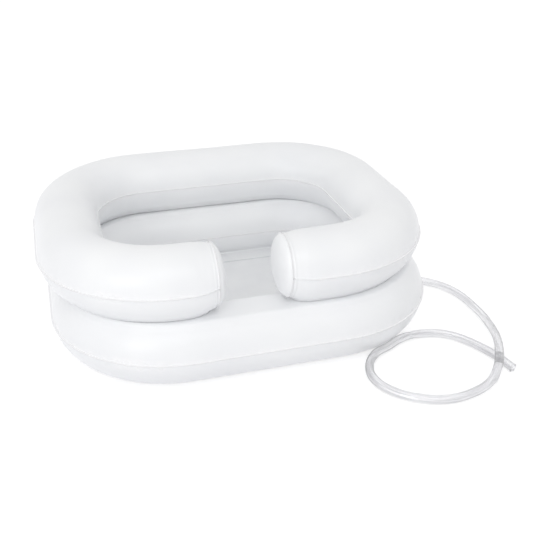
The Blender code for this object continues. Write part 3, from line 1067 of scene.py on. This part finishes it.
@dataclass
class EndCap:
    """Domed cap that closes one arm of the upper ring, with its weld fin."""

    name: str
    end_x: float
    outwards: int
    film: Material
    ring: Ring = UPPER
    arm_end: ArmEnd = ArmEnd()
    depth: float = 14.5 * MM
    fin_gap: float = 0.9 * MM
    parts: int = 18
    gather: float = 0.45 * MM
    gather_pitch: float = 9 * MM
    gather_reach: float = 0.45
    gather_fall: float = 2

    def build(self) -> None:
        """Build the cap and hand it to the frame."""
        shape = bmesh.new()
        weld = shape.verts.layers.float.new("weld")
        plane_x = self.end_x + self.outwards * (self.fin_gap + FILM)
        middle = Vector((plane_x, self.ring.front_y(), self.ring.centre[2] + self.arm_end.lift))
        outline = [self.arm_end.move(Vector((plane_x, self.ring.front_y() - out, self.ring.centre[2] + up)),
                                     self.ring, 0) for out, up in self.ring.whole_section()]
        loop = chain(shape, outline, closed=True)
        for vert in carry_on(shape, loop)[0]:
            vert.co += (vert.co - middle).normalized() * self.arm_end.fin
            vert[weld] = 1
        for step in range(1, self.parts + 1):
            turn = math.pi / 2 * step / self.parts
            before = math.pi / 2 * (step - 1) / self.parts
            verts, loop = carry_on(shape, loop)
            for vert in verts:
                vert[weld] = 0
                away = Vector((0, vert.co.y - middle.y, vert.co.z - middle.z))
                ridge = noise.noise(away.normalized() * (self.ring.radius / self.gather_pitch)
                                    + Vector((self.end_x / self.gather_pitch, 0, 0)))
                share = turn / (math.pi / 2) / self.gather_reach
                pucker = self.gather * ridge * share * math.exp(1 - share * share * self.gather_fall)
                vert.co = middle + away * (math.cos(turn) / math.cos(before))
                vert.co.x = plane_x + self.outwards * (self.depth * math.sin(turn) + pucker * math.cos(turn))
        bmesh.ops.remove_doubles(shape, verts=shape.verts, dist=MERGE)
        face_towards(shape, Vector((self.outwards, 0, 0)))
        cap = make_piece(self.name + "_film", shape, self.film, sharp_deg=60)
        give_thickness(cap, FILM)
        hand_over(cap, self.name)


# Floor


@dataclass
class FloorSheet:
    """The floor sheet: its margin welded up the lower ring, a weld line, and the flat with the drain.

    The elbow under the drain's flange and the hose from there to the ring hold the sheet up a little. The
    shares give the curve from the margin to the flat, and the section across the weld line, inwards.
    """

    finish: Material
    ring: Ring = LOWER
    height: float = 12.6 * MM
    margin_rise: float = 2.5 * MM
    margin_parts: int = 6
    fillet: float = 3.5 * MM
    fillet_shares: Pair = (0.42, 1.3)
    fillet_parts: int = 6
    lead_parts: int = 9
    weld_inset: float = 33 * MM
    weld_width: float = 4.5 * MM
    weld_height: float = 1.4 * MM
    weld_shares: tuple[Pair, ...] = ((0.42, -0.12), (0.3, -0.5), (0.15, -0.9), (0, -1), (-0.15, -0.9),
                                     (-0.3, -0.5), (-0.42, -0.12), (-0.5, 0))
    # Widths of the painted shade of the weld's groove, as shares of the weld's width: where it ends, where it
    # is full
    groove_shade_shares: Pair = (0.45, 0.15)
    past_weld: float = 7 * MM
    inner_parts: int = 16
    ripple: float = 0.35 * MM
    ripple_size: float = 38 * MM
    ripple_from_share: float = 0.75
    ripple_rise: float = 30 * MM
    small_ripple_share: float = 0.5
    small_ripple_size: float = 15 * MM
    drain_height: float = DRAIN_FLOOR
    drain_hole: float = 7.9 * MM
    drain_flat: float = 26 * MM
    drain_reach: float = 66 * MM

    def section(self) -> list[Pair]:
        """Trace the sheet from its margin to its inner part, inwards.

        Returns:
            Distance outwards from the ring's centre line and height over it, for each point.
        """
        clear = FILM_GAP + FILM
        wide, high = self.ring.radius + clear, self.ring.rise + clear
        up = self.height - self.ring.centre[2]
        lift = self.fillet
        near, far = self.fillet_shares
        meet = math.asin(-(up + lift) / high)
        top = math.asin(-(up + lift + self.margin_rise) / high)
        points = []
        for step in range(self.margin_parts + 1):
            angle = top + (meet - top) * step / self.margin_parts
            points.append((-wide * math.cos(angle), -high * math.sin(angle)))
        weld = points[0][0] - self.weld_inset
        inner = points[-1][0]
        for step in range(1, self.fillet_parts + 1):
            angle = math.pi / 2 * step / self.fillet_parts
            out = inner + lift * (near * math.sin(angle) - far * (1 - math.cos(angle)))
            points.append((out, up + lift * (1 - math.sin(angle))))
        start = points[-1][0]
        goal = weld + self.weld_width / 2
        for step in range(1, self.lead_parts + 1):
            points.append((start + (goal - start) * step / self.lead_parts, up))
        for out, rise in self.weld_shares:
            points.append((weld + self.weld_width * out, up + self.weld_height * rise))
        return points + [(weld - self.past_weld, up)]

    def settle(self, shape: BMesh) -> None:
        """Open the drain's hole, lift the sheet over the drain and hose, and let it ripple a little.

        Args:
            shape: The level sheet.
        """
        drain = Vector((DRAIN_X, DRAIN_Y, 0))
        flat = Vector((1, 1, 0))
        near = [face for face in shape.faces
                if ((face.calc_center_median() - drain) * flat).length < self.drain_hole]
        bmesh.ops.delete(shape, geom=near, context="FACES")
        weld = shape.verts.layers.float.new("weld")
        weld_out = self.section()[0][0] - self.weld_inset
        # How far each side of the weld the painted shade of its groove reaches
        groove_shade_end, groove_shade = (share * self.weld_width for share in self.groove_shade_shares)
        for vert in shape.verts:
            away = (vert.co - drain) * flat
            out = self.ring.spot(vert.co).out
            vert[weld] = fade(abs(out - weld_out), groove_shade_end, groove_shade)
            free = fade(-out - self.ring.radius * self.ripple_from_share, 0, self.ripple_rise)
            if vert.is_boundary and away.length < 2 * self.drain_hole:
                vert.co += away.normalized() * (self.drain_hole - away.length)
            wave = (noise.noise(vert.co / self.ripple_size)
                    + self.small_ripple_share * noise.noise(vert.co / self.small_ripple_size))
            over_hose = Vector((min(away.x, 0), away.y)).length
            held_up = fade(over_hose, self.drain_reach, self.drain_flat)
            slack = min(1.0, max(0.0, 1 - (vert.co.z - self.height) / self.fillet))
            vert.co.z += ((self.drain_height - self.height) * held_up * slack
                          + self.ripple * wave * free * (1 - held_up))

    def build(self) -> None:
        """Build the sheet and hand it to the frame."""
        section = self.section()
        shape = self.ring.sweep(section, 0, 0)
        inner = section[-1][0]
        edges = border(shape, lambda vert: self.ring.spot(vert.co).out < inner + MM)
        centre = Vector((self.ring.centre[0], self.ring.centre[1], self.height))
        for step in range(self.inner_parts):
            verts, edges = carry_on(shape, edges)
            left = 1 - (step + 1) / self.inner_parts
            before = 1 - step / self.inner_parts
            bmesh.ops.scale(shape, verts=verts, vec=(left / before, left / before, 1),
                            space=Matrix.Translation(-centre))
        bmesh.ops.remove_doubles(shape, verts=shape.verts, dist=MERGE)
        self.settle(shape)
        face_towards(shape, Vector((0, 0, 1)))
        sheet = make_piece("basin_floor_sheet", shape, self.finish, sharp_deg=70)
        give_thickness(sheet, FILM)
        hand_over(sheet, "basin_floor")


# Drain and hose


@dataclass
class DrainHose:
    """Clear hose from the drain's spout, lying in one loop and crossing over its own free end.

    Each slight kink has its place and its width, as shares of the hose's length, and how far the hose is
    pressed flat there, as a share of its diameter.
    """

    finish: Material
    diameter: float = 14 * MM
    bore: float = 11.4 * MM
    step: float = 3 * MM
    curve_parts: int = 16
    facets: int = 32
    kinks: tuple[Triple, ...] = ((0.826, 0.0055, 0.30), (0.486, 0.007, 0.2), (0.33, 0.009, 0.12))
    widening: float = 0.5

    def curve(self) -> list[Vector]:
        """Give a fine run of points on one smooth curve through the route.

        Returns:
            The points, from the drain to the cut end.
        """
        points = [Vector(point) * MM for point in HOSE_ROUTE_MM]
        padded = [2 * points[0] - points[1]] + points + [2 * points[-1] - points[-2]]
        fine = [points[0]]
        for before, start, end, after in zip(padded, padded[1:], padded[2:], padded[3:]):
            for part in range(1, self.curve_parts + 1):
                share = part / self.curve_parts
                fine.append((2 * start + (end - before) * share
                             + (2 * before - 5 * start + 4 * end - after) * share * share
                             + (3 * start - before - 3 * end + after) * share ** 3) / 2)
        return fine

    def route(self) -> list[Vector]:
        """Give points at even steps along the hose's curve.

        Returns:
            The points, from the drain to the cut end.
        """
        fine = self.curve()
        lengths = [0.0]
        for start, end in zip(fine, fine[1:]):
            lengths.append(lengths[-1] + (end - start).length)
        count = round(lengths[-1] / self.step)
        even, index = [], 0
        for number in range(count + 1):
            along = lengths[-1] * number / count
            while index < len(fine) - 2 and lengths[index + 1] < along:
                index += 1
            share = (along - lengths[index]) / (lengths[index + 1] - lengths[index])
            even.append(fine[index].lerp(fine[index + 1], share))
        return even

    def frames(self, route: list[Vector]) -> list[Matrix]:
        """Give a frame at each point of the route: Z along the hose, Y as near upright as it can be.

        Args:
            route: Points along the hose.

        Returns:
            A frame for each of them.
        """
        frames = []
        for number, point in enumerate(route):
            ahead = route[min(number + 1, len(route) - 1)] - route[max(number - 1, 0)]
            along = ahead.normalized()
            level = along.cross(Vector((0, 0, 1))).normalized()
            turn = Matrix((level, level.cross(along), along)).transposed().to_4x4()
            frames.append(Matrix.Translation(point) @ turn)
        return frames

    def squeeze(self, share: float) -> Matrix:
        """Give how the hose is pressed flat at a share of its length, where it has a slight kink."""
        flat = sum(depth * math.exp(-((share - at) / width) ** 2) for at, width, depth in self.kinks)
        return Matrix.Diagonal((1 + self.widening * flat, 1 - flat, 1, 1))

    def draw_wall(self, shape: BMesh, radius: float, frames: list[Matrix]) -> list[list[BMEdge]]:
        """Draw the outer or the inner face of the hose's wall along its route.

        Args:
            shape: The hose's shape, which the face goes into.
            radius: The face's radius.
            frames: The frame at each point of the route.

        Returns:
            The face's edges at the drain, and those at the cut end.
        """
        unrolled = shape.verts.layers.float_vector["unrolled"]
        verts = bmesh.ops.create_circle(shape, segments=self.facets, radius=radius)["verts"]
        first = edges = list(dict.fromkeys(edge for vert in verts for edge in vert.link_edges))
        for vert in verts:
            vert[unrolled] = Vector((0, vert.co.x, vert.co.y))
        before = frames[0] @ self.squeeze(0)
        bmesh.ops.transform(shape, matrix=before, verts=verts)
        for number in range(1, len(frames)):
            after = frames[number] @ self.squeeze(number / (len(frames) - 1))
            verts, edges = carry_on(shape, edges)
            bmesh.ops.transform(shape, matrix=after @ before.inverted(), verts=verts)
            for vert in verts:
                vert[unrolled] = Vector((number * self.step, vert[unrolled].y, vert[unrolled].z))
            before = after
        return [first, edges]

    def build(self) -> None:
        route = self.route()
        frames = self.frames(route)
        shape = bmesh.new()
        shape.verts.layers.float_vector.new("unrolled")
        outer = self.draw_wall(shape, self.diameter / 2, frames)
        inner = self.draw_wall(shape, self.bore / 2, frames)
        for outer_end, inner_end in zip(outer, inner):
            bmesh.ops.bridge_loops(shape, edges=outer_end + inner_end)
        bmesh.ops.recalc_face_normals(shape, faces=shape.faces)
        hose = make_piece("clear_drain_hose", shape, self.finish)
        hand_over(hose, "drain_hose")


@dataclass
class Drain:
    """The drain's flange on the floor, and its strainer.

    The flange's face has a groove round the bore, and slopes down to the rim.
    """

    finish: Material
    rim: float = 22 * MM
    rim_height: float = 0.8 * MM
    rim_slope: float = 3.2 * MM
    thickness: float = 1.6 * MM
    bore: float = 6 * MM
    wall: float = 1.6 * MM
    neck: float = 4 * MM
    lead_in: float = 1.6 * MM
    groove_out: float = 5.6 * MM
    groove_half: float = 0.8 * MM
    groove_depth: float = 0.5 * MM
    flange_rounding: float = 0.25 * MM
    bar_width: float = 1.8 * MM
    bar_height: float = 2.2 * MM
    bar_seat: float = 0.3 * MM
    bar_rounding: float = 0.3 * MM

    def build(self) -> None:
        """Build the flange and its strainer."""
        seat = DRAIN_FLOOR + FILM_GAP
        face = seat + self.thickness
        outer = self.bore + self.wall
        groove = outer + self.groove_out
        place = Matrix.Translation((DRAIN_X, DRAIN_Y, 0))
        flange = make_piece("drain_flange_ring", revolve([
            (self.rim, seat), (self.rim, seat + self.rim_height), (self.rim - self.rim_slope, face),
            (groove + self.groove_half, face), (groove, face - self.groove_depth),
            (groove - self.groove_half, face), (outer + self.lead_in, face), (self.bore, seat),
            (self.bore, seat - self.neck), (outer, seat - self.neck), (outer, seat)]), self.finish, place)
        round_edges(flange, self.flange_rounding)
        hand_over(flange, "drain_flange")
        bars = bmesh.new()
        size = Matrix.Diagonal((2 * (self.bore + self.bar_seat), self.bar_width, self.bar_height, 1))
        for turn in (0, math.pi / 2):
            at = Matrix.Translation((0, 0, seat - self.bar_height / 2)) @ Matrix.Rotation(turn, 4, "Z")
            bmesh.ops.create_cube(bars, size=1, matrix=at @ size)
        strainer = make_piece("drain_strainer_cross", bars, self.finish, place)
        round_edges(strainer, self.bar_rounding)
        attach(strainer, "basin")


# Air valves


@dataclass
class AirValve:
    """One air valve: its welded flange, the stem that pulls out of it, the plug, the strap and the flap.

    The plug's crown is given as shares of its head's radius, with the drop at each. Its seal and its tip are
    given as insets from the spigot, with the depth under the head and the height over the end.
    """

    name: str
    foot: Vector
    way: Vector
    finish: Material
    ring: Ring
    flange: float = 18 * MM
    flange_thickness: float = 1.2 * MM
    flange_edge: float = 0.6 * MM
    groove_shares: tuple[float, ...] = (0.2, 0.4, 0.6)
    groove_half: float = 0.5 * MM
    groove_depth: float = 0.3 * MM
    stem: float = 7.5 * MM
    stem_edge: float = 0.3 * MM
    rise: float = 3.2 * MM
    depth: float = 16 * MM
    bore: float = 4 * MM
    bore_edge: float = 0.4 * MM
    lip: float = 8.6 * MM
    lip_depth: float = 2 * MM
    collar_wall: float = 1.4 * MM
    collar_depth: float = 5 * MM
    head: float = 7.5 * MM
    head_thickness: float = 2 * MM
    crown: tuple[Pair, ...] = ((0.35, 0.05 * MM), (0.66, 0.3 * MM))
    spigot: float = 8 * MM
    seal: tuple[Pair, ...] = ((0.2 * MM, 2.4 * MM), (0, 3.2 * MM), (0.25 * MM, 4 * MM))
    tip: tuple[Pair, ...] = ((0.35 * MM, 0.5 * MM), (0.9 * MM, 0))
    strap_thickness: float = 0.9 * MM
    strap_width: float = 5 * MM
    strap_reach: float = 11 * MM
    strap_parts: int = 6
    bow_parts: int = 16
    rounding: float = 0.2 * MM
    head_rounding: float = 0.25 * MM

    def frame(self) -> Matrix:
        """Give the valve's frame.

        Returns:
            A frame with X along the ring and Z straight out of the film.
        """
        across = Vector((1, 0, 0))
        turn = Matrix((across, self.way.cross(across), self.way)).transposed().to_4x4()
        return Matrix.Translation(self.foot) @ turn

    def bend(self) -> float:
        """Find how the tube's section bends under the flange.

        Returns:
            The radius of the bend.
        """
        along = (self.foot.y - self.ring.centre[1] - self.ring.reach_y - self.ring.corner) / self.ring.radius
        out = math.sqrt(1 - along * along)
        square = (self.ring.radius * out) ** 2 + (self.ring.rise * along) ** 2
        return square * math.sqrt(square) / (self.ring.radius * self.ring.rise)

    def mould(self, name: str, node: str, shape: BMesh, rounding: float, body: str = "basin") -> None:
        """Make one moulding of the valve and hand it to the frame.

        Args:
            name: What the moulding is called.
            node: The valve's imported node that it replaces.
            shape: Its shape, in the valve's frame.
            rounding: Width of the rounding of its edges.
            body: The body that it rides on.
        """
        piece = make_piece(f"{self.name}_valve_{name}", shape, self.finish, self.frame())
        round_edges(piece, rounding)
        hand_over(piece, f"{self.name}_valve_{node}", body)

    def build_flange(self) -> None:
        """Build the flange, which follows the tube, with the weld's pressed rings in its face."""
        low, top = FILM_GAP, FILM_GAP + self.flange_thickness
        inner = self.stem + FILM_GAP
        collar = inner + self.collar_wall
        profile = [(self.flange, low), (self.flange, low + self.flange_edge)]
        for share in self.groove_shares:
            radius = self.flange + (collar - self.flange) * share
            height = low + self.flange_edge + (top - low - self.flange_edge) * share
            profile += [(radius + self.groove_half, height), (radius, height - self.groove_depth),
                        (radius - self.groove_half, height)]
        profile += [(collar, top), (inner, top), (inner, -self.collar_depth), (collar, -self.collar_depth),
                    (collar, low)]
        shape = revolve(profile)
        bend = self.bend()
        for vert in shape.verts:
            vert.co.z -= bend - math.sqrt(bend * bend - vert.co.y * vert.co.y)
        self.mould("welded_flange", "flange", shape, self.rounding)

    def build_stem(self) -> None:
        """Build the stem that the air passes through."""
        low = -self.depth
        profile = [(self.bore + self.bore_edge, self.rise), (self.stem - self.stem_edge, self.rise),
                   (self.stem, self.rise - self.stem_edge), (self.stem, low + self.lip_depth),
                   (self.lip, low + self.lip_depth), (self.lip, low), (self.bore, low),
                   (self.bore, self.rise - self.bore_edge)]
        self.mould("air_stem", "stem", revolve(profile), self.rounding, self.name + "_stem")

    def build_plug(self) -> None:
        """Build the plug with its crowned head and the ring that seals it in the stem."""
        seat = self.rise + FILM_GAP
        crown = seat + self.head_thickness
        spigot = self.bore - FILM_GAP
        end = seat - self.spigot
        profile = [(0, crown)] + [(self.head * share, crown - drop) for share, drop in self.crown]
        profile += [(self.head, crown - self.head_thickness / 2), (self.head, seat), (spigot, seat)]
        profile += [(spigot - inset, seat - depth) for inset, depth in self.seal]
        profile += [(spigot - inset, end + height) for inset, height in self.tip] + [(0, end)]
        self.mould("stopper", "plug", revolve(profile), self.head_rounding, self.name + "_plug")

    def build_strap(self) -> None:
        """Build the strap that bends from the stem up to the plug's head."""
        low = self.rise - self.stem_edge - self.strap_thickness / 2
        high = self.rise + FILM_GAP + self.head_thickness / 2
        radius, middle = (high - low) / 2, (high + low) / 2
        far = self.stem + self.strap_reach - radius
        turns = [math.pi * (step / self.bow_parts - 0.5) for step in range(self.bow_parts + 1)]
        bow = [(far + radius * math.cos(turn), middle + radius * math.sin(turn)) for turn in turns]
        run = [(self.stem + FILM_GAP, low)] + bow + [(self.head + FILM_GAP, high)]
        shape = bmesh.new()
        edges = chain(shape, [(out, -self.strap_width / 2, up) for out, up in run])
        for _ in range(self.strap_parts):
            verts, edges = carry_on(shape, edges)
            bmesh.ops.translate(shape, verts=verts, vec=(0, self.strap_width / self.strap_parts, 0))
        face_towards(shape, Vector((1, 0, 0)))
        frame = self.frame()
        piece = make_piece(f"{self.name}_valve_tether", shape, self.finish, frame)
        give_thickness(piece, self.strap_thickness, 0)
        round_edges(piece, self.rounding, 2)
        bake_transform(piece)
        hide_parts(f"{self.name}_valve_strap")

    def build(self) -> None:
        """Build every piece of the valve but the flap, which stays as packed."""
        self.build_flange()
        self.build_stem()
        self.build_plug()
        self.build_strap()


# Surroundings


@dataclass
class Studio:
    """Camera, lamps, pale floor and white surroundings."""

    place: Triple = (-0.2694, -1.1749, 0.6746)
    azimuth_deg: float = -16.4928
    elevation_deg: float = 27.2977
    lens_mm: float = 51.617
    sensor_mm: float = 36.0
    far: float = 50.0
    floor_size: float = 12.0
    floor_glow: float = 0.68
    floor_through: float = 0.6
    floor_seen: str = "#BDBDBE"
    floor_bounce: str = "#E8E8EA"
    key_place: Triple = (-1.65, -1.95, 1.1)
    key_watts: float = 10.8
    fill_place: Triple = (-0.3, -1.8, 1.95)
    fill_watts: float = 6.3
    lamp_size: float = 1.4
    aim_height: float = 0.1
    ambient: float = 0.745

    def build_camera(self) -> None:
        """Put the camera where the photograph was taken from."""
        lens = bpy.data.cameras.new("photo_camera")
        lens.lens = self.lens_mm
        lens.sensor_width = self.sensor_mm
        lens.clip_end = self.far
        camera = bpy.data.objects.new("photo_camera", lens)
        camera.location = self.place
        camera.rotation_euler = (math.radians(90 - self.elevation_deg), 0, math.radians(self.azimuth_deg))
        bpy.context.collection.objects.link(camera)
        bpy.context.scene.camera = camera

    def build_lamp(self, name: str, place: Triple, watts: float) -> None:
        """Hang a soft lamp that faces the basin.

        Args:
            name: The lamp's name.
            place: Where it hangs.
            watts: Its power.
        """
        light = bpy.data.lights.new(name, "AREA")
        light.shape = "DISK"
        light.size = self.lamp_size
        light.energy = watts
        lamp = bpy.data.objects.new(name, light)
        lamp.location = place
        aim = Vector((0, 0, self.aim_height)) - Vector(place)
        lamp.rotation_euler = aim.to_track_quat("-Z", "Y").to_euler()
        bpy.context.collection.objects.link(lamp)

    def build_surroundings(self) -> None:
        """Make the air round the basin white to look at, and an even soft light."""
        world = bpy.data.worlds.new("white_room")
        bpy.context.scene.world = world
        nodes = Nodes("white_room", world)
        seen = nodes.rays("Is Camera Ray", "Is Glossy Ray", "Is Transmission Ray")
        back = nodes.tree.nodes["Background"]
        nodes.feed(back.inputs["Color"], linear(WHITE))
        nodes.feed(back.inputs["Strength"], nodes.span(seen, self.ambient, 1.0, 0, 1))

    def build_floor(self) -> None:
        """Lay a pale floor that shows white but keeps the basin's shadow."""
        shape = bmesh.new()
        bmesh.ops.create_grid(shape, x_segments=1, y_segments=1, size=self.floor_size / 2)
        nodes = Nodes("pale_floor")
        seen = nodes.rays("Is Camera Ray")
        through = nodes.rays("Is Glossy Ray", "Is Transmission Ray")
        glow = nodes.reckon("MAXIMUM", nodes.span(seen, 0.0, self.floor_glow, 0, 1),
                            nodes.span(through, 0.0, self.floor_through, 0, 1))
        nodes.shade(Base_Color=nodes.blend(seen, self.floor_bounce, self.floor_seen), Roughness=1.0,
                    Specular_IOR_Level=0.0, Emission_Color=linear(WHITE), Emission_Strength=glow)
        make_piece("studio_floor", shape, nodes.material)

    def build(self) -> None:
        """Build the lamps, the floor and the surroundings, and set how colours are shown."""
        self.build_lamp("soft_key_lamp", self.key_place, self.key_watts)
        self.build_lamp("soft_front_lamp", self.fill_place, self.fill_watts)
        self.build_surroundings()
        self.build_floor()
        bpy.context.scene.view_settings.view_transform = "Standard"


def dress_nodes(frame: dict, finishes: Finishes) -> None:
    """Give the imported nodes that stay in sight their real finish.

    Args:
        finishes: The basin's finishes.
    """
    for name, material in (("drain_elbow", finishes.hard), ("upper_valve_flap", finishes.soft),
                           ("lower_valve_flap", finishes.soft)):
        node = frame["nodes"][name]
        for slot in node.material_slots:
            slot.material = material
        LOG.info("%s keeps its packed shape", name)


def main() -> None:
    """Load the frame, then build the camera, the hose and every other piece."""
    logging.basicConfig(level=logging.INFO, format="%(name)s: %(message)s")
    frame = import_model()
    studio = Studio()
    studio.build_camera()
    finishes = Finishes()
    DrainHose(finishes.clear).build()

    upper_foot, upper_way = Vector((-60, 254.22, 179.12)) * MM, Vector((0, 0.91518, 0.40305))
    lower_foot, lower_way = Vector((60, 244.22, 77.74)) * MM, Vector((0, 0.91787, 0.39688))
    AirRing("upper_ring", UPPER, finishes.film, upper_foot, upper_way, ARM_END_LEFT, ARM_END_RIGHT).build()
    AirRing("lower_ring", LOWER, finishes.film, lower_foot, lower_way, dent_y=DRAIN_Y).build()
    EndCap("upper_ring_left_cap", ARM_END_LEFT, 1, finishes.film).build()
    EndCap("upper_ring_right_cap", ARM_END_RIGHT, -1, finishes.film).build()
    FloorSheet(finishes.sheet).build()
    Drain(finishes.hard).build()
    AirValve("upper", upper_foot, upper_way, finishes.soft, UPPER).build()
    AirValve("lower", lower_foot, lower_way, finishes.soft, LOWER).build()
    dress_nodes(frame, finishes)
    studio.build()


if __name__ == "__main__":
    main()
